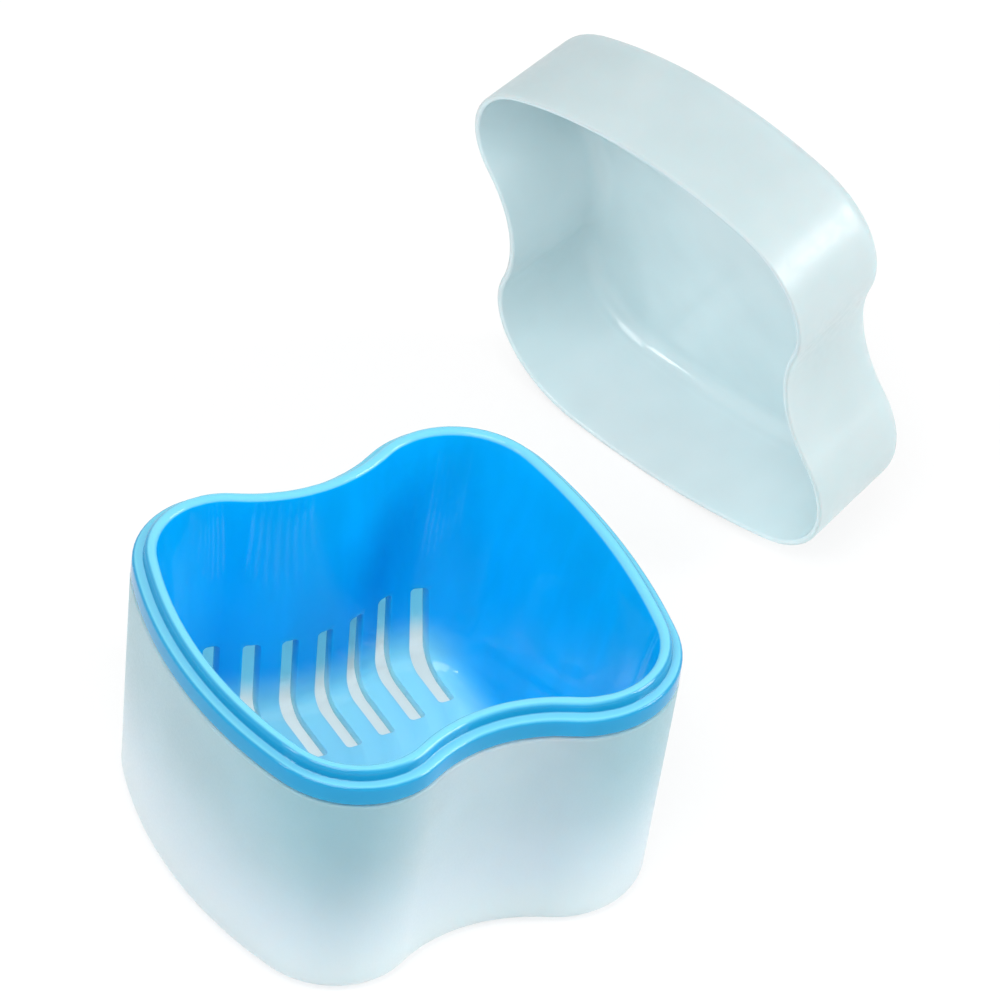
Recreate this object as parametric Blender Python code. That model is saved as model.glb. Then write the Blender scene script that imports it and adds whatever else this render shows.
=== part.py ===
"""Denture case: an outer cup, a strainer basket that hangs in it, and a lid that has been taken off.

Metres, +Z up. The origin is on the table, under the middle of the cup. X runs across the two hollow
waists and Y runs from the front bow (-Y) to the flatter back bow (+Y). All three mouldings share one
plan outline, a closed chain of tangent arcs, so the basket's flange and the lid are flush with the cup.
"""

import math

import bmesh
import bpy
from mathutils import Euler, Vector

# Plan outline of the flange, the cup's mouth and the lid's mouth
PLAN_LENGTH = 0.0836
WAIST_WIDTH = 0.0654
WAIST_RADIUS = 0.0280
FRONT_BOW_RADIUS = 0.0800
BACK_BOW_RADIUS = 0.1200
FRONT_CORNER_RADIUS = 0.0172
BACK_CORNER_RADIUS = 0.0185
LEAST_CORNER_RADIUS = 0.0035

# Clearances between the mouldings
SEAT_GAP = 0.0003
FIT_GAP = 0.0003

# Outer cup
CUP_HEIGHT = 0.0442
CUP_WALL = 0.0018
CUP_FLOOR = 0.0018
CUP_TAPER = 0.0021
CUP_FOOT_RADIUS = 0.0030
CUP_INNER_RADIUS = 0.0030
CUP_RIM_ROUND = 0.0004

# Strainer basket
FLANGE_HEIGHT = 0.0040
FLANGE_ROUND = 0.0006
LEDGE_WIDTH = 0.0019
LEDGE_ROOT = 0.0003
LIP_HEIGHT = 0.0022
LIP_ROUND = 0.0008
BASKET_WALL = 0.0018
BASKET_FLOOR = 0.0018
BASKET_STAND_OFF = 0.0010
BASKET_TAPER = 0.0037
FRONT_DRAW_IN = 0.0030
BACK_DRAW_IN = 0.0049
BASKET_INNER_RADIUS = 0.0034

# Drain slots: each runs down the waist wall and on across the floor
SLOTS_PER_SIDE = 8
SLOT_PITCH = 0.0066
SLOT_WIDTH = 0.0030
SLOT_ROW_Y = -0.0010
SLOT_RISE = 0.0150
SLOT_REACH = 0.0197
SLOT_ENDS_RADIUS = 0.0680

# Lid
LID_DEPTH = 0.0222
LID_WALL = 0.0011
LID_TOP = 0.0012
LID_TAPER = 0.0012
LID_TOP_RADIUS = 0.0032
LID_INNER_RADIUS = 0.0022
LID_RIM_ROUND = 0.0004

# Where the lid stands, taken off: on its back bow behind the cup, its mouth turned to the front
LID_PLACE_X = -0.0539
LID_PLACE_Y = 0.0775
LID_TIP = math.radians(10.4)
LID_TURN = math.radians(18.2)
LID_ROLL = math.radians(-4.9)

# A cutter runs this far past what it cuts
OVERRUN = 0.0030

# Points along each arc of one half of the outline, and along a rounded profile corner
BOW_STEPS = 5
CORNER_STEPS = 9
WAIST_STEPS = 8
LARGE_ROUND_STEPS = 6
SMALL_ROUND_STEPS = 2
SHARP_EDGE = math.radians(38.0)


def clear_scene():
    """Remove every object of the open scene."""
    for item in list(bpy.data.objects):
        bpy.data.objects.remove(item, do_unlink=True)


def plastic(name, colour, roughness, transmission):
    """Return a moulded plastic material."""
    material = bpy.data.materials.new(name)
    material.use_nodes = True
    shader = material.node_tree.nodes["Principled BSDF"]
    shader.inputs["Base Color"].default_value = (*colour, 1.0)
    shader.inputs["Roughness"].default_value = roughness
    shader.inputs["Metallic"].default_value = 0.0
    shader.inputs["Transmission Weight"].default_value = transmission
    material.diffuse_color = (*colour, 1.0)
    return material


def lobe_centre(bow_y, bow_reach, waist_x, waist_reach):
    """Return the centre of the corner arc that touches a bow from inside and the waist from outside."""
    apart_x = waist_x
    apart_y = -bow_y
    apart = math.hypot(apart_x, apart_y)
    along = (bow_reach**2 - waist_reach**2 + apart**2) / (2 * apart)
    aside = math.sqrt(bow_reach**2 - along**2)
    side = -math.copysign(1.0, bow_y)
    x = along * apart_x / apart - side * aside * apart_y / apart
    y = bow_y + along * apart_y / apart + side * aside * apart_x / apart
    return x, y


def arc(centre, radius, start, end, steps):
    """Return points along an arc, without its last one."""
    points = []
    for step in range(steps):
        angle = start + (end - start) * step / steps
        points.append((centre[0] + radius * math.cos(angle), centre[1] + radius * math.sin(angle)))
    return points


def outline(inset, slope_share=0):
    """Return the plan outline moved inwards by inset, anticlockwise from the middle of the front bow.

    The two bows alone come further in, each by this share of its own draw.
    """
    front_end = PLAN_LENGTH / 2 - FRONT_DRAW_IN * slope_share
    back_end = PLAN_LENGTH / 2 - BACK_DRAW_IN * slope_share
    front_radius = FRONT_BOW_RADIUS - inset
    back_radius = BACK_BOW_RADIUS - inset
    front_corner = max(FRONT_CORNER_RADIUS - inset, LEAST_CORNER_RADIUS)
    back_corner = max(BACK_CORNER_RADIUS - inset, LEAST_CORNER_RADIUS)
    waist_radius = WAIST_RADIUS + inset
    waist_x = WAIST_WIDTH / 2 + WAIST_RADIUS
    front_y = FRONT_BOW_RADIUS - front_end
    back_y = back_end - BACK_BOW_RADIUS
    # Each bow's centre lies across the middle from the bow, so its sign picks the corner's side
    front_lobe = lobe_centre(front_y, front_radius - front_corner, waist_x, waist_radius + front_corner)
    back_lobe = lobe_centre(back_y, back_radius - back_corner, waist_x, waist_radius + back_corner)
    bow_end = math.atan2(front_lobe[1] - front_y, front_lobe[0])
    lobe_end = math.atan2(-front_lobe[1], waist_x - front_lobe[0])
    waist_start = math.atan2(front_lobe[1], front_lobe[0] - waist_x) % math.tau
    waist_end = math.atan2(back_lobe[1], back_lobe[0] - waist_x) % math.tau
    back_start = math.atan2(-back_lobe[1], waist_x - back_lobe[0])
    back_end = math.atan2(back_lobe[1] - back_y, back_lobe[0])
    half = arc((0, front_y), front_radius, -math.pi / 2, bow_end, BOW_STEPS)
    half += arc(front_lobe, front_corner, bow_end, lobe_end, CORNER_STEPS)
    half += arc((waist_x, 0), waist_radius, waist_start, waist_end, WAIST_STEPS)
    half += arc(back_lobe, back_corner, back_start, back_end, CORNER_STEPS)
    half += arc((0, back_y), back_radius, back_end, math.pi / 2, BOW_STEPS)
    half.append((0, back_y + back_radius))
    mirrored = [(-x, y) for x, y in reversed(half[1:-1])]
    return half + mirrored


def rounded(corners):
    """Return profile points for (inset, height, radius) corners, each rounded by its own radius."""
    profile = []
    last = len(corners) - 1
    for index, (inset, height, radius) in enumerate(corners):
        here = Vector((inset, height))
        if radius == 0 or index in (0, last):
            profile.append(here)
            continue
        back = (Vector(corners[index - 1][:2]) - here).normalized()
        ahead = (Vector(corners[index + 1][:2]) - here).normalized()
        half_angle = back.angle(ahead) / 2
        centre = here + (back + ahead).normalized() * radius / math.sin(half_angle)
        start = here + back * radius / math.tan(half_angle) - centre
        turn = start.angle_signed(here + ahead * radius / math.tan(half_angle) - centre)
        steps = LARGE_ROUND_STEPS if radius > 2 * LIP_ROUND else SMALL_ROUND_STEPS
        for step in range(steps + 1):
            angle = -turn * step / steps
            spoke = Vector((start.x * math.cos(angle) - start.y * math.sin(angle),
                            start.x * math.sin(angle) + start.y * math.cos(angle)))
            profile.append(centre + spoke)
    return profile


def moulding(name, corners, material, slope_share=lambda point: 0):
    """Build one closed moulding by sweeping a profile round the plan outline, and return its object.

    slope_share says how much of the bows' draw a point (inset, height) of the profile has.
    """
    shape = bmesh.new()
    rings = []
    for point in rounded(corners):
        rings.append([shape.verts.new((x, y, point.y)) for x, y in outline(point.x, slope_share(point))])
    for lower, upper in zip(rings, rings[1:]):
        for index in range(len(lower)):
            after = (index + 1) % len(lower)
            shape.faces.new((lower[index], lower[after], upper[after], upper[index]))
    shape.faces.new(list(reversed(rings[0])))
    shape.faces.new(rings[-1])
    mesh = bpy.data.meshes.new(name)
    shape.to_mesh(mesh)
    shape.free()
    mesh.shade_smooth()
    mesh.set_sharp_from_angle(angle=SHARP_EDGE)
    mesh.materials.append(material)
    item = bpy.data.objects.new(name, mesh)
    bpy.context.scene.collection.objects.link(item)
    return item


def build_cup():
    """Build the outer cup: open at the top, slightly tapered, standing on its flat underside."""
    corners = [
        (CUP_TAPER + 2 * CUP_FOOT_RADIUS, 0, 0),
        (CUP_TAPER, 0, CUP_FOOT_RADIUS),
        (0, CUP_HEIGHT, CUP_RIM_ROUND),
        (CUP_WALL, CUP_HEIGHT, CUP_RIM_ROUND),
        (CUP_TAPER + CUP_WALL, CUP_FLOOR, CUP_INNER_RADIUS),
        (CUP_TAPER + CUP_WALL + 2 * CUP_INNER_RADIUS, CUP_FLOOR, 0),
    ]
    return moulding("cup", corners, plastic("frosted_white", (0.72, 0.82, 0.86), 0.45, 0.15))


def slot_cutter(material, floor_height):
    """Build the cutter of all drain slots, one box for each, in mirrored rows at the two waists."""
    shape = bmesh.new()
    inner_end = WAIST_WIDTH / 2 - SLOT_REACH
    outside = WAIST_WIDTH / 2 + OVERRUN
    bottom = floor_height - BASKET_FLOOR - OVERRUN
    top = floor_height + SLOT_RISE
    for side in (-1, 1):
        for row in range(SLOTS_PER_SIDE):
            y = SLOT_ROW_Y + (row - (SLOTS_PER_SIDE - 1) / 2) * SLOT_PITCH
            end = inner_end + SLOT_ENDS_RADIUS - math.sqrt(SLOT_ENDS_RADIUS**2 - y**2)
            made = bmesh.ops.create_cube(shape, size=1.0)["verts"]
            bmesh.ops.scale(shape, verts=made, vec=(outside - end, SLOT_WIDTH, top - bottom))
            bmesh.ops.translate(shape, verts=made, vec=(side * (outside + end) / 2, y, (top + bottom) / 2))
    mesh = bpy.data.meshes.new("slot_cutter")
    shape.to_mesh(mesh)
    shape.free()
    mesh.materials.append(material)
    cutter = bpy.data.objects.new("slot_cutter", mesh)
    cutter.hide_render = True
    cutter.display_type = "WIRE"
    bpy.context.scene.collection.objects.link(cutter)
    return cutter


def build_basket():
    """Build the strainer basket: flange on the cup's rim, ledge and lip for the lid, slotted tub."""
    flange_bottom = CUP_HEIGHT + SEAT_GAP
    ledge = flange_bottom + FLANGE_HEIGHT
    lip_top = ledge + LIP_HEIGHT
    floor_height = CUP_FLOOR + BASKET_STAND_OFF + BASKET_FLOOR
    tub_outside = CUP_WALL + FIT_GAP
    tub_inside = tub_outside + BASKET_WALL
    corners = [
        (tub_outside + BASKET_TAPER + 2 * BASKET_INNER_RADIUS, floor_height - BASKET_FLOOR, 0),
        (tub_outside + BASKET_TAPER, floor_height - BASKET_FLOOR, BASKET_INNER_RADIUS + BASKET_FLOOR),
        (tub_outside, flange_bottom, 0),
        (0, flange_bottom, FLANGE_ROUND),
        (0, ledge, FLANGE_ROUND),
        (LEDGE_WIDTH, ledge, LEDGE_ROOT),
        (LEDGE_WIDTH, lip_top, LIP_ROUND),
        (tub_inside, lip_top, LIP_ROUND),
        (tub_inside + BASKET_TAPER, floor_height, BASKET_INNER_RADIUS),
        (tub_inside + BASKET_TAPER + 2 * BASKET_INNER_RADIUS, floor_height, 0),
    ]

    def slope_share(point):
        """Slope the tub's end walls: nothing at the lip and the whole draw at the floor."""
        share = (lip_top - max(point.y, floor_height)) / (lip_top - floor_height)
        return share if point.x >= tub_outside else 0

    blue = plastic("glossy_blue", (0.03, 0.36, 0.85), 0.2, 0.0)
    basket = moulding("strainer_basket", corners, blue, slope_share)
    cut = basket.modifiers.new("drain_slots", "BOOLEAN")
    cut.operation = "DIFFERENCE"
    cut.solver = "EXACT"
    cut.object = slot_cutter(blue, floor_height)
    return basket


def build_lid():
    """Build the lid in the position it has when closed, then stand it on its back bow beside the cup."""
    corners = [
        (LID_TAPER + LID_WALL + 2 * LID_INNER_RADIUS, LID_DEPTH - LID_TOP, 0),
        (LID_TAPER + LID_WALL, LID_DEPTH - LID_TOP, LID_INNER_RADIUS),
        (LID_WALL, 0, LID_RIM_ROUND),
        (0, 0, LID_RIM_ROUND),
        (LID_TAPER, LID_DEPTH, LID_TOP_RADIUS),
        (LID_TAPER + 2 * LID_TOP_RADIUS, LID_DEPTH, 0),
    ]
    lid = moulding("lid", corners, plastic("pale_white", (0.75, 0.85, 0.88), 0.3, 0.1))
    turned = Euler((LID_TIP - math.pi / 2, 0, LID_TURN)).to_matrix() @ Euler((0, 0, LID_ROLL)).to_matrix()
    lid.rotation_euler = turned.to_euler()
    lowest = min((turned @ vertex.co).z for vertex in lid.data.vertices)
    lid.location = (LID_PLACE_X, LID_PLACE_Y, -lowest)
    return lid


def main():
    """Build the three mouldings."""
    clear_scene()
    build_cup()
    build_basket()
    build_lid()


main()
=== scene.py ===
"""Denture case: a frosted outer cup, a glossy blue strainer basket hanging in it, and its lid standing behind.

All lengths are metres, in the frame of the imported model: +Z up, the origin under the middle of the cup. The three
mouldings share one waisted plan outline. Each is swept round it as a closed shell with rounded edges.
"""

import logging
import math
from dataclasses import dataclass, field
from enum import Enum

import bmesh
import bpy
import numpy as np
from mathutils import Euler, Matrix, Vector


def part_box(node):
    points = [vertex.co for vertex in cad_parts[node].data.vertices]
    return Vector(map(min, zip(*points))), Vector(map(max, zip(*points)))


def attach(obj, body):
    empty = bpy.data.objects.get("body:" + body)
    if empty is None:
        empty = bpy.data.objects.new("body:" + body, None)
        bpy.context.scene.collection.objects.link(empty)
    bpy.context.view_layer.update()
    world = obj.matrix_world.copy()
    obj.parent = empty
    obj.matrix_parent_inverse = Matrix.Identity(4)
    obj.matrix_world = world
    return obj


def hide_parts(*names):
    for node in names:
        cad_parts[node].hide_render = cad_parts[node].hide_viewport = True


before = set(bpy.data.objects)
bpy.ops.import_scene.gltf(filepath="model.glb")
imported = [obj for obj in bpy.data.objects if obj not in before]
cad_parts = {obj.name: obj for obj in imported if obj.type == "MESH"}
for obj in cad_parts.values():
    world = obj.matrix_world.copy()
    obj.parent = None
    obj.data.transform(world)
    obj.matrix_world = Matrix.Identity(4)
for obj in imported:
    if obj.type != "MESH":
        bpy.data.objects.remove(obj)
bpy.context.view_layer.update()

log = logging.getLogger("denture_case")

Colour = tuple[float, float, float]
Place = tuple[float, float, float]

PATTERN_LOW: float = 0.3
PATTERN_HIGH: float = 0.7


class Side(Enum):
    """The two hollow waists, as signs of X."""

    LEFT = -1
    RIGHT = 1


class Ray(Enum):
    """The kinds of ray that see the white surroundings, by their names on a Light Path node."""

    CAMERA = "Is Camera Ray"
    GLOSSY = "Is Glossy Ray"
    TRANSMISSION = "Is Transmission Ray"


def angle_of(direction: np.ndarray) -> float:
    """Return the angle of a plan direction, from +X."""
    return math.atan2(direction[1], direction[0])


@dataclass(frozen=True)
class PlanOutline:
    """The waisted plan outline: two bows, four corners and two hollow waists, all tangent arcs."""

    length: float = 0.0836
    waist_width: float = 0.0654
    waist_radius: float = 0.0280
    front_bow: float = 0.0800
    back_bow: float = 0.1200
    front_corner: float = 0.0172
    back_corner: float = 0.0185
    least_corner: float = 0.0035
    front_draw: float = 0.0030
    back_draw: float = 0.0049
    arc_points: int = 240
    bow_columns: int = 26
    plain_columns: int = 84

    def corner_centre(self, bow_y: float, bow_reach: float, waist_reach: float) -> np.ndarray:
        """Find the centre of a corner arc, tangent inside a bow and outside a waist.

        Args:
            bow_y: Y of the bow's centre, which lies across the middle from the bow.
            bow_reach: Distance of the corner's centre from the bow's.
            waist_reach: Distance of the corner's centre from the waist's.

        Returns:
            The centre on the +X side.
        """
        waist_x = self.waist_width / 2 + self.waist_radius
        apart = math.hypot(waist_x, bow_y)
        along = (bow_reach**2 - waist_reach**2 + apart**2) / (2 * apart)
        aside = -math.copysign(math.sqrt(bow_reach**2 - along**2), bow_y)
        return np.array([(along * waist_x + aside * bow_y) / apart,
                         bow_y + (aside * waist_x - along * bow_y) / apart])

    def half_chain(self, inset: float, share: float) -> np.ndarray:
        """Trace the +X half, from the middle of the front bow to the middle of the back bow.

        Args:
            inset: How far the outline moves inwards.
            share: How much of their draw the two bows have.

        Returns:
            Closely spaced points, one a row, with Y rising all the way.
        """
        front = self.front_bow - inset
        back = self.back_bow - inset
        corner_f = max(self.front_corner - inset, self.least_corner)
        corner_b = max(self.back_corner - inset, self.least_corner)
        waist = self.waist_radius + inset
        waist_c = np.array([self.waist_width / 2 + self.waist_radius, 0.0])
        front_c = np.array([0.0, self.front_bow - self.length / 2 + self.front_draw * share])
        back_c = np.array([0.0, self.length / 2 - self.back_draw * share - self.back_bow])
        lobe_f = self.corner_centre(front_c[1], front - corner_f, waist + corner_f)
        lobe_b = self.corner_centre(back_c[1], back - corner_b, waist + corner_b)
        bow_end = angle_of(lobe_f - front_c)
        lobe_end = angle_of(waist_c - lobe_f)
        back_start = angle_of(waist_c - lobe_b)
        back_end = angle_of(lobe_b - back_c)
        return np.vstack([
            self.arc(front_c, front, -math.pi / 2, bow_end),
            self.arc(lobe_f, corner_f, bow_end, lobe_end),
            self.arc(waist_c, waist, lobe_end + math.pi, back_start + math.pi),
            self.arc(lobe_b, corner_b, back_start, back_end),
            self.arc(back_c, back, back_end, math.pi / 2),
            back_c + np.array([0.0, back]),
        ])

    def arc(self, centre: np.ndarray, radius: float, start: float, end: float) -> np.ndarray:
        """Return points along an arc, without its last one."""
        angles = np.linspace(start, end, self.arc_points, endpoint=False)
        return centre + radius * np.column_stack([np.cos(angles), np.sin(angles)])

    def ring(self, inset: float, share: float, columns: np.ndarray) -> np.ndarray:
        """Sample the whole outline so that the same column of every ring lies at the same Y.

        Args:
            inset: How far the outline moves inwards.
            share: How much of their draw the two bows have.
            columns: Y of each column on the waist side, rising.

        Returns:
            The ring's points, anticlockwise from the middle of the front bow.
        """
        chain = self.half_chain(inset, share)
        steps = np.hypot(*np.diff(chain, axis=0).T)
        run = np.concatenate([[0.0], np.cumsum(steps)])
        first, last = np.interp([columns[0], columns[-1]], chain[:, 1], run)
        side = np.interp(columns, chain[:, 1], run)
        places = np.concatenate([
            np.linspace(0.0, first, self.bow_columns, endpoint=False),
            side,
            np.linspace(last, run[-1], self.bow_columns + 1)[1:],
        ])
        half = np.column_stack([np.interp(places, run, chain[:, axis]) for axis in (0, 1)])
        return np.vstack([half, half[-2:0:-1] * (-1.0, 1.0)])

    def even_columns(self) -> np.ndarray:
        """Return evenly spaced columns for a moulding without slots."""
        reach = self.length / 2 - self.front_corner * 0.75
        return np.linspace(-reach, reach, self.plain_columns)


@dataclass(frozen=True)
class Corner:
    """One corner of a moulding's profile: how far in, how high, and its rounding."""

    inset: float
    height: float
    radius: float = 0.0


@dataclass(frozen=True)
class Profile:
    """The section of a moulding, from its outer underside over the rim to its inner floor."""

    corners: tuple[Corner, ...]
    round_step: float = math.radians(11.0)
    wall_step: float = 0.0045

    def points(self) -> list[Vector]:
        """Round each corner by its own radius and fill the long walls with rings.

        Returns:
            (inset, height) points along the section.
        """
        places = [Vector((corner.inset, corner.height)) for corner in self.corners]
        rounded: list[Vector] = [places[0]]
        for index in range(1, len(places) - 1):
            rounded += self.round_corner(places[index - 1: index + 2], self.corners[index].radius)
        rounded.append(places[-1])
        filled: list[Vector] = [rounded[0]]
        for start, end in zip(rounded, rounded[1:]):
            count = max(1, math.ceil((end - start).length / self.wall_step))
            filled += [start.lerp(end, (step + 1) / count) for step in range(count)]
        return filled

    def round_corner(self, three: list[Vector], radius: float) -> list[Vector]:
        """Replace the middle one of three points by an arc.

        Args:
            three: The corner between its two neighbours.
            radius: Radius of the arc; nothing is rounded at 0.

        Returns:
            The arc's points.
        """
        before, here, after = three
        if radius == 0:
            return [here]
        back = (before - here).normalized()
        ahead = (after - here).normalized()
        half_angle = back.angle(ahead) / 2
        centre = here + (back + ahead).normalized() * radius / math.sin(half_angle)
        start = here + back * radius / math.tan(half_angle) - centre
        turn = start.angle_signed(here + ahead * radius / math.tan(half_angle) - centre)
        count = max(3, math.ceil(abs(turn) / self.round_step))
        return [centre + Matrix.Rotation(-turn * step / count, 2) @ start for step in range(count + 1)]


@dataclass
class Graph:
    """The node graph of one material, with short ways to add what the plastics need."""

    material: bpy.types.Material

    @property
    def shader(self) -> bpy.types.Node:
        """The material's surface shader."""
        return self.material.node_tree.nodes["Principled BSDF"]

    def add(self, kind: str, settings: dict[str, object], sockets: dict[object, object]) -> bpy.types.Node:
        """Add a node.

        Args:
            kind: The node's type.
            settings: Values of the node's own properties.
            sockets: What goes into its inputs: another node's output, or a plain value.

        Returns:
            The new node.
        """
        node = self.material.node_tree.nodes.new(kind)
        for name, value in settings.items():
            setattr(node, name, value)
        for name, value in sockets.items():
            self.feed(node.inputs[name], value)
        return node

    def feed(self, socket: bpy.types.NodeSocket, value: object) -> None:
        """Join an output to a socket, or set the socket to a plain value."""
        if isinstance(value, bpy.types.NodeSocket):
            self.material.node_tree.links.new(value, socket)
        else:
            socket.default_value = value

    def place(self) -> bpy.types.NodeSocket:
        """Return the place on the piece, in its own metres."""
        return self.add("ShaderNodeTexCoord", {}, {}).outputs["Object"]

    def axis(self, name: str) -> bpy.types.NodeSocket:
        """Return one coordinate of the place on the piece."""
        return self.add("ShaderNodeSeparateXYZ", {}, {"Vector": self.place()}).outputs[name]

    def level_place(self) -> bpy.types.NodeSocket:
        """Return the place on the piece with its height left out."""
        return self.add("ShaderNodeVectorMath", {"operation": "MULTIPLY"},
                        {0: self.place(), 1: (1.0, 1.0, 0.0)}).outputs["Vector"]

    def normal(self) -> bpy.types.NodeSocket:
        """Return the way the surface faces."""
        return self.add("ShaderNodeNewGeometry", {}, {}).outputs["Normal"]

    def reach(self) -> bpy.types.NodeSocket:
        """Return how far the place lies from the upright axis through the middle of the cup."""
        return self.add("ShaderNodeVectorMath", {"operation": "LENGTH"}, {0: self.level_place()}).outputs["Value"]

    def outwardness(self) -> bpy.types.NodeSocket:
        """Return how much the surface faces away from the upright axis: its reach, times the cosine of the turn."""
        return self.add("ShaderNodeVectorMath", {"operation": "DOT_PRODUCT"},
                        {0: self.normal(), 1: self.level_place()}).outputs["Value"]

    def upwardness(self) -> bpy.types.NodeSocket:
        """Return how much the surface faces up: 1 where it is level."""
        return self.add("ShaderNodeSeparateXYZ", {}, {"Vector": self.normal()}).outputs["Z"]

    def stretched(self, scales: Place) -> bpy.types.NodeSocket:
        """Return the place on the piece with each axis scaled, for a pattern that runs one way."""
        return self.add("ShaderNodeMapping", {}, {"Vector": self.place(), "Scale": scales}).outputs["Vector"]

    def noise(self, size: float, detail: float, place: bpy.types.NodeSocket | None = None) -> bpy.types.NodeSocket:
        """Add a cloudy pattern.

        Args:
            size: Width of its largest spots.
            detail: How many finer layers it has.
            place: Where it is read, if not at the plain place.

        Returns:
            The pattern, mostly between PATTERN_LOW and PATTERN_HIGH.
        """
        sockets = {"Vector": place or self.place(), "Scale": 1 / size, "Detail": detail}
        return self.add("ShaderNodeTexNoise", {}, sockets).outputs["Fac"]

    def ramp(self, value: bpy.types.NodeSocket, start: float, end: float,
             low: float = 0.0, high: float = 1.0) -> bpy.types.NodeSocket:
        """Turn a value smoothly into another.

        Args:
            value: The value.
            start: Where the change starts.
            end: Where it ends.
            low: The result before the start.
            high: The result after the end.

        Returns:
            The result.
        """
        sockets = {"Value": value, "From Min": start, "From Max": end, "To Min": low, "To Max": high}
        return self.add("ShaderNodeMapRange", {"interpolation_type": "SMOOTHSTEP"}, sockets).outputs["Result"]

    def arithmetic(self, kind: str, first: object, second: object) -> bpy.types.NodeSocket:
        """Work out one step of arithmetic on two values."""
        return self.add("ShaderNodeMath", {"operation": kind}, {0: first, 1: second}).outputs["Value"]

    def blend(self, share: bpy.types.NodeSocket, first: object, second: object) -> bpy.types.NodeSocket:
        """Blend two colours.

        Args:
            share: How much of the second colour there is.
            first: A colour or an output.
            second: A colour or an output.

        Returns:
            The blended colour.
        """
        colours = [(*value, 1.0) if isinstance(value, tuple) else value for value in (first, second)]
        mix = self.add("ShaderNodeMix", {"data_type": "RGBA"}, {0: share, 6: colours[0], 7: colours[1]})
        return mix.outputs[2]

    def emboss(self, height: bpy.types.NodeSocket, depth: float) -> None:
        """Raise and sink the surface by a pattern of this depth."""
        bump = self.add("ShaderNodeBump", {}, {"Height": height, "Distance": depth, "Strength": 1.0})
        self.feed(self.shader.inputs["Normal"], bump.outputs["Normal"])

    def vary_roughness(self, pattern: bpy.types.NodeSocket, middle: float, change: float,
                       start: float = PATTERN_LOW, end: float = PATTERN_HIGH) -> None:
        """Make the surface rougher and smoother by a pattern.

        Args:
            pattern: The pattern.
            middle: The mean roughness.
            change: How far it goes to either side.
            start: Value of the pattern where the surface is smoothest.
            end: Value of the pattern where it is roughest.
        """
        varied = self.ramp(pattern, start, end, middle - change, middle + change)
        self.feed(self.shader.inputs["Roughness"], varied)


@dataclass(frozen=True)
class Finish:
    """A moulded plastic: the values that are the same all over it, and a graph for what varies."""

    name: str
    colour: Colour
    roughness: float
    specular: float = 0.5
    sheen: float = 0.0
    transmission: float = 0.0
    scatter: float = 0.0
    scatter_reach: float = 0.004
    scatter_colours: Colour = (1.0, 1.0, 1.0)

    def material(self) -> bpy.types.Material:
        """Make the material.

        Returns:
            A node material with this finish's colour, gloss and detail.
        """
        made = bpy.data.materials.new(self.name)
        made.use_nodes = True
        made.diffuse_color = (*self.colour, 1.0)
        graph = Graph(made)
        values = {"Base Color": (*self.colour, 1.0), "Roughness": self.roughness,
                  "Specular IOR Level": self.specular, "Sheen Weight": self.sheen,
                  "Transmission Weight": self.transmission, "Subsurface Weight": self.scatter,
                  "Subsurface Scale": self.scatter_reach, "Subsurface Radius": self.scatter_colours}
        for name, value in values.items():
            graph.feed(graph.shader.inputs[name], value)
        self.dress(graph)
        return made

    def dress(self, graph: Graph) -> None:
        """Add what varies over the surface."""
        raise NotImplementedError

    def mottled(self, graph: Graph, pattern: bpy.types.NodeSocket, share: float) -> bpy.types.NodeSocket:
        """Darken the finish's colour by a pattern.

        Args:
            graph: The material's graph.
            pattern: The pattern, from 0 to 1.
            share: How much darker the colour gets at 1.

        Returns:
            The colour.
        """
        deep = tuple(value * (1 - share) for value in self.colour)
        return graph.blend(pattern, self.colour, deep)

    def clouded(self, graph: Graph, size: float, share: float) -> bpy.types.NodeSocket:
        """Return the finish's colour with soft, slightly darker clouds of this size."""
        return self.mottled(graph, graph.ramp(graph.noise(size, 2.0), PATTERN_LOW, PATTERN_HIGH), share)


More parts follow.
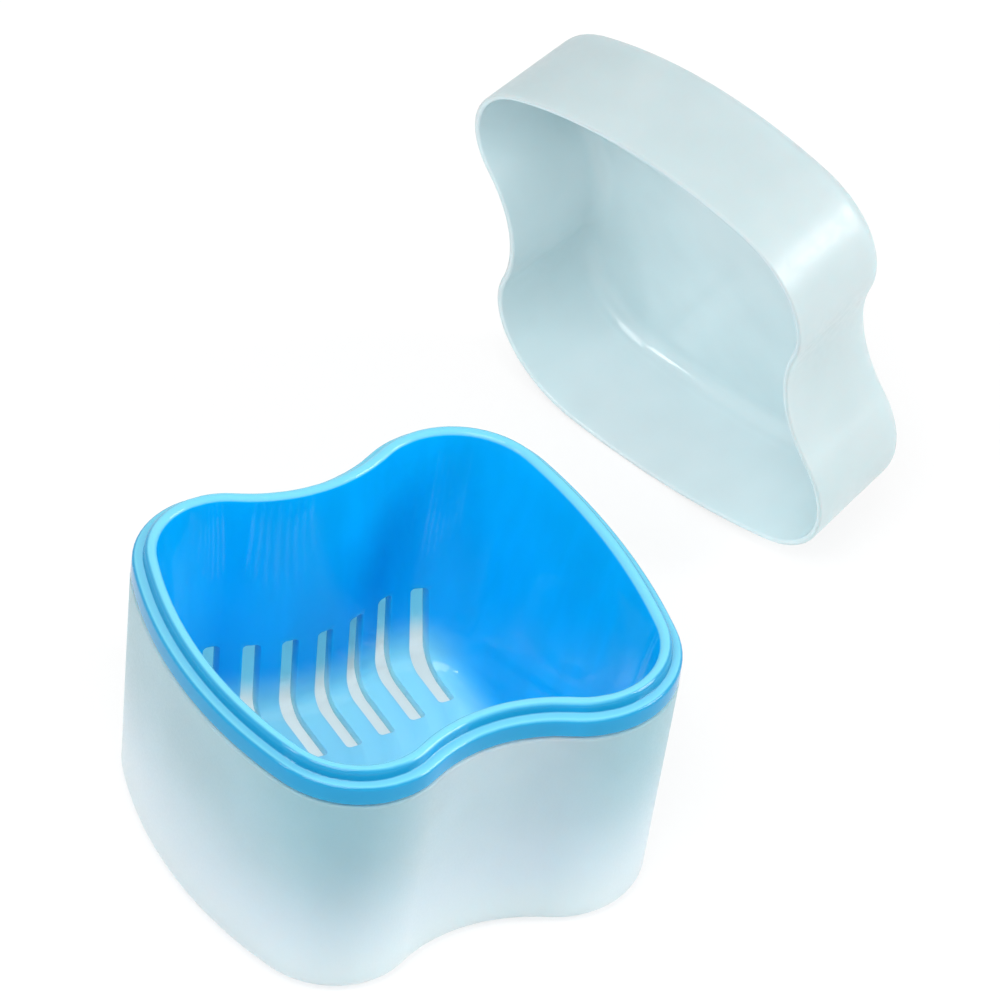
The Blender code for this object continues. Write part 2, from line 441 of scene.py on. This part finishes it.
@dataclass(frozen=True)
class FrostedPlastic(Finish):
    """Spark-frosted translucent polypropylene: cloudy, with a fine grain; painted light makes it paler towards the
    foot, painted shade darkens its upper corners, and a painted blue reflection of the basket tints its inside.
    """

    name: str = "frosted_polypropylene"
    colour: Colour = (0.45, 0.59, 0.605)
    roughness: float = 0.5
    sheen: float = 0.25
    transmission: float = 0.2
    scatter: float = 0.7
    scatter_reach: float = 0.008
    scatter_colours: Colour = (0.6, 0.95, 1.0)
    # Painted light: the outside turns paler towards the foot.
    painted_foot_light_colour: Colour = (0.62, 0.73, 0.75)
    foot_light_start: float = 0.003
    foot_light_end: float = 0.034
    # Painted reflection: the inside turns basket blue higher up, paler low down.
    painted_basket_reflection_colour: Colour = (0.19, 0.69, 0.98)
    inner_foot_colour: Colour = (0.80, 0.95, 1.0)
    basket_reflection_start: float = 0.003
    basket_reflection_end: float = 0.0095
    inner_facing: float = 0.010
    inner_transmission: float = 0.88
    # Painted shade: the outside's upper corners darken towards a deep teal.
    painted_corner_shade_colour: Colour = (0.19, 0.41, 0.45)
    corner_shade_share: float = 0.65
    corner_shade_foot: float = 0.008
    corner_shade_top: float = 0.044
    corner_shade_inner: float = 0.036
    corner_shade_outer: float = 0.047
    cloud_size: float = 0.022
    cloud_share: float = 0.12
    grain_size: float = 0.00045
    grain_depth: float = 0.00002
    roughness_change: float = 0.08

    def dress(self, graph: Graph) -> None:
        """Paint light on the foot and shade on the upper corners, make the inside paler low down with a painted
        blue reflection of the basket higher up, clear the inside, and frost it all.
        """
        height = graph.axis("Z")
        # Painted light, paler towards the foot.
        foot = graph.ramp(height, self.foot_light_start, self.foot_light_end, 1.0, 0.0)
        foot_lit = graph.blend(foot, self.clouded(graph, self.cloud_size, self.cloud_share), self.painted_foot_light_colour)
        # Painted shade on the upper corners, strongest near the top.
        corners = graph.ramp(graph.reach(), self.corner_shade_inner, self.corner_shade_outer)
        upper = graph.ramp(height, self.corner_shade_foot, self.corner_shade_top, 0.0, self.corner_shade_share)
        corner_shade = graph.arithmetic("MULTIPLY", corners, upper)
        outside = graph.blend(corner_shade, foot_lit, self.painted_corner_shade_colour)
        inner = graph.ramp(graph.outwardness(), -self.inner_facing, 0.0, 1.0, 0.0)
        # Painted blue reflection of the basket on the inside, paler low down.
        basket_reflection_share = graph.ramp(height, self.basket_reflection_start, self.basket_reflection_end)
        inside = graph.blend(basket_reflection_share, self.inner_foot_colour, self.painted_basket_reflection_colour)
        graph.feed(graph.shader.inputs["Base Color"], graph.blend(inner, outside, inside))
        clear = graph.ramp(inner, 0.0, 1.0, self.transmission, self.inner_transmission)
        graph.feed(graph.shader.inputs["Transmission Weight"], clear)
        grain = graph.noise(self.grain_size, 2.0)
        graph.vary_roughness(grain, self.roughness, self.roughness_change)
        graph.emboss(grain, self.grain_depth)


@dataclass(frozen=True)
class PolishedFloor(Finish):
    """The unfrosted floor of the cup, on both of its sides: smoother and clearer than the wall."""

    name: str = "polished_polypropylene"
    colour: Colour = (0.82, 0.96, 1.0)
    roughness: float = 0.3
    transmission: float = 0.88
    cloud_size: float = 0.012
    cloud_share: float = 0.06

    def dress(self, graph: Graph) -> None:
        """Cloud the plastic slightly."""
        graph.feed(graph.shader.inputs["Base Color"], self.clouded(graph, self.cloud_size, self.cloud_share))


@dataclass(frozen=True)
class GlossyPlastic(Finish):
    """Glossy coloured polypropylene with faint flow marks; painted light pales its ledge, lip and slotted floor,
    and painted shade darkens the outer sides of its flange and lip.
    """

    name: str = "blue_polypropylene"
    colour: Colour = (0.001, 0.43, 0.88)
    roughness: float = 0.08
    specular: float = 0.34
    scatter: float = 0.3
    scatter_reach: float = 0.005
    scatter_colours: Colour = (0.3, 0.8, 1.0)
    # Painted light: the level tops of the ledge and lip are paler.
    painted_rim_light_colour: Colour = (0.16, 0.56, 0.74)
    rim_light_start: float = 0.0474
    rim_light_end: float = 0.0484
    rim_light_tilt: float = 0.20
    rim_light_level: float = 0.60
    # Painted light: the tub's floor round the slots is paler.
    floor_colour: Colour = (0.34, 0.80, 0.90)
    floor_light_start: float = 0.0048
    floor_light_end: float = 0.0150
    floor_light_inner: float = 0.0220
    floor_light_outer: float = 0.0300
    # Painted shade: the sides of the flange and lip that face away from the middle are darker.
    painted_side_shade_colour: Colour = (0.004, 0.265, 0.50)
    side_shade_start: float = 0.0440
    side_shade_end: float = 0.0446
    side_shade_tilt: float = 0.010
    side_shade_facing: float = 0.033
    flow_size: float = 0.010
    flow_stretch: Place = (1.0, 1.0, 0.25)
    flow_share: float = 0.10
    flow_low: float = 0.35
    flow_high: float = 0.65
    ripple_size: float = 0.012
    ripple_depth: float = 0.00010
    roughness_change: float = 0.03

    def dress(self, graph: Graph) -> None:
        """Paint light on the ledge, lip and floor and shade on the outer sides of the flange and lip, and add flow
        marks and the slight ripple of a moulded wall.
        """
        streaks = graph.noise(self.flow_size, 3.0, graph.stretched(self.flow_stretch))
        flow = graph.ramp(streaks, self.flow_low, self.flow_high)
        body = self.mottled(graph, flow, self.flow_share)
        height = graph.axis("Z")
        # Painted light on the floor round the slots.
        low = graph.ramp(height, self.floor_light_start, self.floor_light_end, 1.0, 0.0)
        along = graph.arithmetic("ABSOLUTE", graph.axis("Y"), 0.0)
        floor = graph.arithmetic("MULTIPLY", low, graph.ramp(along, self.floor_light_inner, self.floor_light_outer, 1.0, 0.0))
        # Painted shade on the sides of the flange and lip that face away from the middle.
        side_shade_height = graph.ramp(height, self.side_shade_start, self.side_shade_end)
        side_shade_turn = graph.ramp(graph.outwardness(), self.side_shade_tilt, self.side_shade_facing)
        flange = graph.arithmetic("MULTIPLY", side_shade_height, side_shade_turn)
        # Painted light on the level tops of the ledge and lip.
        level = graph.ramp(graph.upwardness(), self.rim_light_tilt, self.rim_light_level)
        rim = graph.arithmetic("MULTIPLY", level, graph.ramp(height, self.rim_light_start, self.rim_light_end))
        tub = graph.blend(floor, body, self.floor_colour)
        colour = graph.blend(flange, graph.blend(rim, tub, self.painted_rim_light_colour), self.painted_side_shade_colour)
        graph.feed(graph.shader.inputs["Base Color"], colour)
        graph.vary_roughness(flow, self.roughness, self.roughness_change, 0.0, 1.0)
        graph.emboss(graph.noise(self.ripple_size, 1.0), self.ripple_depth)


@dataclass(frozen=True)
class SatinPlastic(Finish):
    """Pale satin-gloss polypropylene: smooth, slightly milky, with a faint cloudiness and a soft gloss."""

    name: str = "pale_polypropylene"
    colour: Colour = (0.60, 0.705, 0.73)
    roughness: float = 0.36
    transmission: float = 0.24
    scatter: float = 0.7
    scatter_reach: float = 0.006
    scatter_colours: Colour = (0.45, 0.9, 1.0)
    cloud_size: float = 0.018
    cloud_share: float = 0.06
    peel_size: float = 0.0016
    peel_depth: float = 0.000012
    roughness_change: float = 0.05

    def dress(self, graph: Graph) -> None:
        """Cloud the plastic slightly and break its gloss with the finest orange peel."""
        graph.feed(graph.shader.inputs["Base Color"], self.clouded(graph, self.cloud_size, self.cloud_share))
        peel = graph.noise(self.peel_size, 1.0)
        graph.vary_roughness(peel, self.roughness, self.roughness_change)
        graph.emboss(peel, self.peel_depth)


@dataclass(frozen=True)
class PolishedInside(SatinPlastic):
    """The lid's inside, moulded against polished steel: glossier and clearer than its outside, and a little paler
    and bluer than it as painted light inside the lid.
    """

    name: str = "pale_polypropylene_inside"
    # Painted light: a little paler and bluer than the outside.
    colour: Colour = (0.62, 0.745, 0.78)
    roughness: float = 0.12
    transmission: float = 0.03
    scatter: float = 0.22
    roughness_change: float = 0.02


@dataclass
class Moulding:
    """A thin injection moulding, swept round the shared outline."""

    name: str = ""
    body: str = ""
    slot: str = ""
    finish: Finish | None = None
    outline: PlanOutline = field(default_factory=PlanOutline)
    sharp_edge: float = math.radians(40.0)

    def profile(self) -> Profile:
        """Return the section that this moulding is swept from."""
        raise NotImplementedError

    def slope_share(self, point: Vector) -> float:
        """Return how much of the bows' draw a profile point has: none, unless a moulding says otherwise."""
        return 0.0

    def columns(self) -> np.ndarray:
        """Return the Y of each column of the sweep on the waist side."""
        return self.outline.even_columns()

    def sweep(self) -> bpy.types.Mesh:
        """Sweep the profile round the outline.

        Returns:
            A closed mesh whose faces point outwards.
        """
        shape = bmesh.new()
        columns = self.columns()
        rings = []
        for point in self.profile().points():
            ring = self.outline.ring(point.x, self.slope_share(point), columns)
            rings.append([shape.verts.new((x, y, point.y)) for x, y in ring])
        for lower, upper in zip(rings, rings[1:]):
            for index in range(len(lower)):
                after = (index + 1) % len(lower)
                shape.faces.new((lower[index], lower[after], upper[after], upper[index]))
        shape.faces.new(rings[0][::-1])
        shape.faces.new(rings[-1])
        mesh = bpy.data.meshes.new(self.name)
        shape.to_mesh(mesh)
        shape.free()
        return mesh

    def shape(self) -> bpy.types.Mesh:
        """Return the finished mesh, in the piece's own frame."""
        return self.sweep()

    def stand(self, mesh: bpy.types.Mesh) -> Matrix:
        """Return where the piece stands in the model: in its own frame, unless a moulding says otherwise."""
        return Matrix.Identity(4)

    def dress(self, mesh: bpy.types.Mesh) -> None:
        """Give the whole mesh the moulding's finish."""
        mesh.materials.clear()
        mesh.materials.append(self.finish.material())

    def build(self) -> bpy.types.Object:
        """Make the piece, dress it, and let it stand for its node.

        Returns:
            The new object.
        """
        mesh = self.shape()
        mesh.shade_smooth()
        mesh.set_sharp_from_angle(angle=self.sharp_edge)
        self.dress(mesh)
        mesh.transform(self.stand(mesh))
        piece = bpy.data.objects.new(f"{self.name}_shell", mesh)
        bpy.context.scene.collection.objects.link(piece)
        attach(piece, self.body)
        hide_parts(self.name)
        log.info("%s: %d faces, rides on %s", piece.name, len(mesh.polygons), self.body)
        return piece


@dataclass
class Cup(Moulding):
    """The outer cup: slightly tapered, with a rounded foot and a thin rounded rim."""

    name: str = "cup"
    body: str = "cup"
    slot: str = "frosted_cup"
    finish: Finish = field(default_factory=FrostedPlastic)
    height: float = 0.0442
    wall: float = 0.0018
    floor: float = 0.0018
    taper: float = 0.0021
    foot_radius: float = 0.0030
    inner_radius: float = 0.0030
    rim_round: float = 0.0006
    polished: Finish = field(default_factory=PolishedFloor)

    def dress(self, mesh: bpy.types.Mesh) -> None:
        """Frost the walls and leave both sides of the floor polished."""
        super().dress(mesh)
        mesh.materials.append(self.polished.material())
        for face in mesh.polygons:
            face.material_index = int(self.on_floor(face))

    def on_floor(self, face: bpy.types.MeshPolygon) -> bool:
        """Say whether a face is nearly level and low down."""
        return abs(face.normal.z) > math.cos(self.sharp_edge) and face.center.z < self.height / 2

    def profile(self) -> Profile:
        """Return the cup's section."""
        return Profile((
            Corner(self.taper + 2 * self.foot_radius, 0),
            Corner(self.taper, 0, self.foot_radius),
            Corner(0, self.height, self.rim_round),
            Corner(self.wall, self.height, self.rim_round),
            Corner(self.taper + self.wall, self.floor, self.inner_radius),
            Corner(self.taper + self.wall + 2 * self.inner_radius, self.floor),
        ))


@dataclass
class StrainerBasket(Moulding):
    """The strainer basket: a flange on the cup's rim, a ledge and lip for the lid, and a slotted tub."""

    name: str = "strainer_basket"
    body: str = "basket"
    slot: str = "blue_basket"
    finish: Finish = field(default_factory=GlossyPlastic)
    cup: Cup = field(default_factory=Cup)
    gap: float = 0.0003
    flange_height: float = 0.0040
    flange_round: float = 0.0007
    ledge_width: float = 0.0019
    ledge_root: float = 0.0003
    lip_height: float = 0.0022
    lip_round: float = 0.0009
    wall: float = 0.0018
    floor: float = 0.0018
    stand_off: float = 0.0010
    taper: float = 0.0037
    inner_radius: float = 0.0034
    slots_per_side: int = 8
    slot_pitch: float = 0.0066
    slot_width: float = 0.0030
    slot_row_y: float = -0.0010
    slot_rise: float = 0.0150
    slot_reach: float = 0.0197
    slot_ends_radius: float = 0.0680
    slot_corner: float = 0.0007
    slot_edge: float = 0.00022
    overrun: float = 0.0030
    beside_slot: float = 0.00055
    tolerance: float = 1e-6

    @property
    def flange_bottom(self) -> float:
        """Height of the flange's underside."""
        return self.cup.height + self.gap

    @property
    def lip_top(self) -> float:
        """Height of the lip's top."""
        return self.flange_bottom + self.flange_height + self.lip_height

    @property
    def floor_top(self) -> float:
        """Height of the tub's floor inside."""
        return self.cup.floor + self.stand_off + self.floor

    def profile(self) -> Profile:
        """Return the basket's section."""
        ledge = self.flange_bottom + self.flange_height
        outside = self.cup.wall + self.gap
        inside = outside + self.wall
        outer_radius = self.inner_radius + self.floor
        return Profile((
            Corner(outside + self.taper + outer_radius, self.floor_top - self.floor),
            Corner(outside + self.taper, self.floor_top - self.floor, outer_radius),
            Corner(outside, self.flange_bottom),
            Corner(0, self.flange_bottom, self.flange_round),
            Corner(0, ledge, self.flange_round),
            Corner(self.ledge_width, ledge, self.ledge_root),
            Corner(self.ledge_width, self.lip_top, self.lip_round),
            Corner(inside, self.lip_top, self.lip_round),
            Corner(inside + self.taper, self.floor_top, self.inner_radius),
            Corner(inside + self.taper + self.inner_radius, self.floor_top),
        ))

    def slope_share(self, point: Vector) -> float:
        """Slope the tub's end walls: nothing at the lip and the whole draw at the floor."""
        share = (self.lip_top - max(point.y, self.floor_top)) / (self.lip_top - self.floor_top)
        return share if point.x >= self.cup.wall + self.gap else 0.0

    def slot_places(self) -> list[float]:
        """Return the Y of each slot's middle."""
        middle = (self.slots_per_side - 1) / 2
        return [self.slot_row_y + (row - middle) * self.slot_pitch for row in range(self.slots_per_side)]

    def columns(self) -> np.ndarray:
        """Place columns beside each slot's edges and none on them, so that the edges bevel cleanly."""
        outer = self.slot_width / 2 + self.beside_slot
        inner = self.slot_width / 2 - self.beside_slot
        offsets = (-outer, -inner, 0.0, inner, outer)
        places = [y + offset for y in self.slot_places() for offset in offsets]
        return np.array(sorted(places))

    def cutter(self) -> bpy.types.Object:
        """Make one cutter of all drain slots, with rounded ends.

        Returns:
            The cutter, which the caller removes.
        """
        shape = bmesh.new()
        bottom = self.floor_top - self.floor - self.overrun
        top = self.floor_top + self.slot_rise
        outside = self.outline.waist_width / 2 + self.outline.length
        for side in Side:
            for y in self.slot_places():
                arc = self.slot_ends_radius - math.sqrt(self.slot_ends_radius**2 - y**2)
                end = self.outline.waist_width / 2 - self.slot_reach + arc
                made = bmesh.ops.create_cube(shape, size=1.0)["verts"]
                bmesh.ops.scale(shape, verts=made, vec=(outside - end, self.slot_width, top - bottom))
                middle = (side.value * (outside + end) / 2, y, (top + bottom) / 2)
                bmesh.ops.translate(shape, verts=made, vec=middle)
                edges = {edge for vert in made for edge in vert.link_edges}
                rounded = [edge for edge in edges if self.rounds(edge, side.value * end, top)]
                bmesh.ops.bevel(shape, geom=rounded, offset=self.slot_corner, segments=4, profile=0.5,
                                affect="EDGES")
        mesh = bpy.data.meshes.new("slot_cutter")
        shape.to_mesh(mesh)
        shape.free()
        mesh.materials.append(bpy.data.materials.new("cut"))
        item = bpy.data.objects.new("slot_cutter", mesh)
        bpy.context.scene.collection.objects.link(item)
        return item

    def rounds(self, edge: bmesh.types.BMEdge, end_x: float, top: float) -> bool:
        """Say whether a cutter's edge is rounded: upright at a slot's floor end, or lengthways on its top."""
        low, high = (vert.co for vert in edge.verts)
        at_end = max(abs(low.x - end_x), abs(high.x - end_x)) < self.tolerance
        on_top = max(abs(low.z - top), abs(high.z - top)) < self.tolerance
        upright = at_end and abs(low.z - high.z) > self.tolerance
        lengthways = on_top and abs(low.y - high.y) < self.tolerance
        return upright or lengthways

    def shape(self) -> bpy.types.Mesh:
        """Cut the slots through the swept tub and ease their edges."""
        moulded = bpy.data.objects.new("uncut_basket", self.sweep())
        moulded.data.materials.append(bpy.data.materials.new("moulded"))
        bpy.context.scene.collection.objects.link(moulded)
        cutter = self.cutter()
        cut = moulded.modifiers.new("slots", "BOOLEAN")
        cut.operation = "DIFFERENCE"
        cut.solver = "EXACT"
        cut.material_mode = "TRANSFER"
        cut.object = cutter
        evaluated = moulded.evaluated_get(bpy.context.evaluated_depsgraph_get())
        mesh = bpy.data.meshes.new_from_object(evaluated)
        for item in (moulded, cutter):
            bpy.data.objects.remove(item)
        self.ease_slot_edges(mesh)
        return mesh

    def ease_slot_edges(self, mesh: bpy.types.Mesh) -> None:
        """Round the edges between the cut faces and the moulded ones.

        Args:
            mesh: The slotted basket, which is changed in place.
        """
        shape = bmesh.new()
        shape.from_mesh(mesh)
        bmesh.ops.remove_doubles(shape, verts=shape.verts, dist=self.tolerance)
        cut = {face for face in shape.faces if mesh.materials[face.material_index].name.startswith("cut")}
        rims = [edge for edge in shape.edges if sum(face in cut for face in edge.link_faces) == 1]
        bmesh.ops.bevel(shape, geom=rims, offset=self.slot_edge, segments=2, profile=0.5, affect="EDGES",
                        clamp_overlap=True)
        for face in shape.faces:
            face.material_index = 0
        shape.to_mesh(mesh)
        shape.free()


@dataclass
class Lid(Moulding):
    """The lid: a shallow cap, taken off and standing on its back bow behind the cup."""

    name: str = "lid"
    body: str = "lid"
    slot: str = "pale_lid"
    finish: Finish = field(default_factory=SatinPlastic)
    depth: float = 0.0222
    wall: float = 0.0011
    top: float = 0.0012
    taper: float = 0.0012
    top_radius: float = 0.0032
    inner_radius: float = 0.0036
    rim_round: float = 0.0004
    place_x: float = -0.0539
    place_y: float = 0.0775
    tip: float = math.radians(10.4)
    turn: float = math.radians(18.2)
    roll: float = math.radians(-4.9)
    polished: Finish = field(default_factory=PolishedInside)

    def dress(self, mesh: bpy.types.Mesh) -> None:
        """Leave the outside satin and polish the inside."""
        super().dress(mesh)
        mesh.materials.append(self.polished.material())
        for face in mesh.polygons:
            face.material_index = int(self.inside(face))

    def inside(self, face: bpy.types.MeshPolygon) -> bool:
        """Say whether a face is on the inner side of the wall, or on the underside of the top."""
        inward = face.normal.xy.dot(face.center.xy) < 0 and face.normal.z < math.sin(self.sharp_edge)
        ceiling = face.normal.z < -math.cos(self.sharp_edge) and face.center.z > self.depth / 2
        return inward or ceiling

    def profile(self) -> Profile:
        """Return the lid's section, from the underside of its top round the rim and over the top."""
        return Profile((
            Corner(self.taper + self.wall + 2 * self.inner_radius, self.depth - self.top),
            Corner(self.taper + self.wall, self.depth - self.top, self.inner_radius),
            Corner(self.wall, 0, self.rim_round),
            Corner(0, 0, self.rim_round),
            Corner(self.taper, self.depth, self.top_radius),
            Corner(self.taper + 2 * self.top_radius, self.depth),
        ))

    def stand(self, mesh: bpy.types.Mesh) -> Matrix:
        """Stand the lid on its back bow where the node stands."""
        turned = Euler((self.tip - math.pi / 2, 0, self.turn)).to_matrix() @ Euler((0, 0, self.roll)).to_matrix()
        lowest = min((turned @ vertex.co).z for vertex in mesh.vertices)
        place = (self.place_x, self.place_y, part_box("lid")[0].z - lowest)
        return Matrix.Translation(place) @ turned.to_4x4()


@dataclass(frozen=True)
class Lamp:
    """A soft flat lamp that faces the case."""

    name: str
    azimuth: float
    elevation: float
    distance: float
    width: float
    height: float
    power: float
    aim: Place = (-0.01, 0.03, 0.04)

    def hang(self) -> bpy.types.Object:
        """Hang the lamp.

        Returns:
            The lamp's object.
        """
        level = self.distance * math.cos(self.elevation)
        away = Vector((level * math.cos(self.azimuth), level * math.sin(self.azimuth),
                       self.distance * math.sin(self.elevation)))
        lamp = bpy.data.lights.new(self.name, "AREA")
        lamp.shape = "RECTANGLE"
        lamp.size = self.width
        lamp.size_y = self.height
        lamp.energy = self.power
        item = bpy.data.objects.new(self.name, lamp)
        item.location = Vector(self.aim) + away
        item.rotation_euler = away.to_track_quat("Z", "Y").to_euler()
        bpy.context.scene.collection.objects.link(item)
        return item


@dataclass
class Studio:
    """The pale floor, the soft lamps, the white surroundings and the camera."""

    floor_size: float = 6.0
    floor_gap: float = 0.0002
    floor_colour: Colour = (0.93, 0.93, 0.93)
    floor_roughness: float = 0.9
    floor_whiteness: float = 0.75
    surroundings: float = 0.62
    camera_place: Place = (2.0594, -1.3613, 2.2878)
    camera_forward: Place = (-0.6189, 0.4140, -0.6675)
    camera_roll: float = math.radians(7.3)
    lens_mm: float = 720.0
    sensor_mm: float = 36.0
    lamps: tuple[Lamp, ...] = (
        Lamp("front", math.radians(-58), math.radians(57), 1.5, 1.0, 1.0, 14.0),
        Lamp("right", math.radians(58), math.radians(28), 1.4, 0.55, 0.55, 10.0),
        Lamp("left", math.radians(-100), math.radians(36), 1.4, 0.12, 0.5, 2.0),
    )

    def build(self) -> None:
        """Set up everything that isn't part of the object."""
        self.build_floor()
        self.build_world()
        for lamp in self.lamps:
            lamp.hang()
        self.build_camera()

    def build_floor(self) -> bpy.types.Object:
        """Lay the pale floor: white in gloss and through the plastic, and mostly white to the camera."""
        half = self.floor_size / 2
        mesh = bpy.data.meshes.new("floor")
        corners = [(x, y, -self.floor_gap) for x, y in ((-half, -half), (half, -half), (half, half), (-half, half))]
        mesh.from_pydata(corners, [], [(0, 1, 2, 3)])
        made = bpy.data.materials.new("floor")
        made.use_nodes = True
        graph = Graph(made)
        graph.feed(graph.shader.inputs["Base Color"], (*self.floor_colour, 1.0))
        graph.feed(graph.shader.inputs["Roughness"], self.floor_roughness)
        path = graph.add("ShaderNodeLightPath", {}, {})
        indirect = graph.arithmetic("MAXIMUM", path.outputs[Ray.GLOSSY.value], path.outputs[Ray.TRANSMISSION.value])
        direct = graph.arithmetic("MULTIPLY", path.outputs[Ray.CAMERA.value], self.floor_whiteness)
        seen = graph.arithmetic("MAXIMUM", indirect, direct)
        white = graph.add("ShaderNodeEmission", {}, {"Strength": 1.0})
        mix = graph.add("ShaderNodeMixShader", {}, {0: seen, 1: graph.shader.outputs[0], 2: white.outputs[0]})
        graph.feed(made.node_tree.nodes["Material Output"].inputs["Surface"], mix.outputs[0])
        mesh.materials.append(made)
        floor = bpy.data.objects.new("floor", mesh)
        bpy.context.scene.collection.objects.link(floor)
        return floor

    def build_world(self) -> None:
        """Light the surroundings evenly and show them white to the camera, in gloss and through the plastic."""
        world = bpy.data.worlds.new("surroundings")
        bpy.context.scene.world = world
        world.use_nodes = True
        nodes = world.node_tree.nodes
        links = world.node_tree.links
        back = nodes["Background"]
        back.inputs["Color"].default_value = (1, 1, 1, 1)
        path = nodes.new("ShaderNodeLightPath")
        strength: bpy.types.NodeSocket | None = None
        for ray in Ray:
            pick = nodes.new("ShaderNodeMath")
            pick.operation = "MAXIMUM"
            links.new(path.outputs[ray.value], pick.inputs[0])
            pick.inputs[1].default_value = self.surroundings
            if strength:
                links.new(strength, pick.inputs[1])
            strength = pick.outputs["Value"]
        links.new(strength, back.inputs["Strength"])

    def build_camera(self) -> None:
        """Set the camera at the photograph's angle."""
        data = bpy.data.cameras.new("camera")
        data.sensor_width = self.sensor_mm
        data.lens = self.lens_mm
        camera = bpy.data.objects.new("camera", data)
        aim = Vector(self.camera_forward).to_track_quat("-Z", "Y").to_matrix()
        turned = aim @ Matrix.Rotation(self.camera_roll, 3, "Z")
        camera.matrix_world = Matrix.Translation(self.camera_place) @ turned.to_4x4()
        bpy.context.scene.collection.objects.link(camera)
        bpy.context.scene.camera = camera
        bpy.context.scene.view_settings.view_transform = "Standard"


def main() -> None:
    """Build the three mouldings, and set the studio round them."""
    logging.basicConfig(level=logging.INFO, format="%(name)s: %(message)s")
    for moulding in (Cup(), StrainerBasket(), Lid()):
        moulding.build()
    Studio().build()


if __name__ == "__main__":
    main()
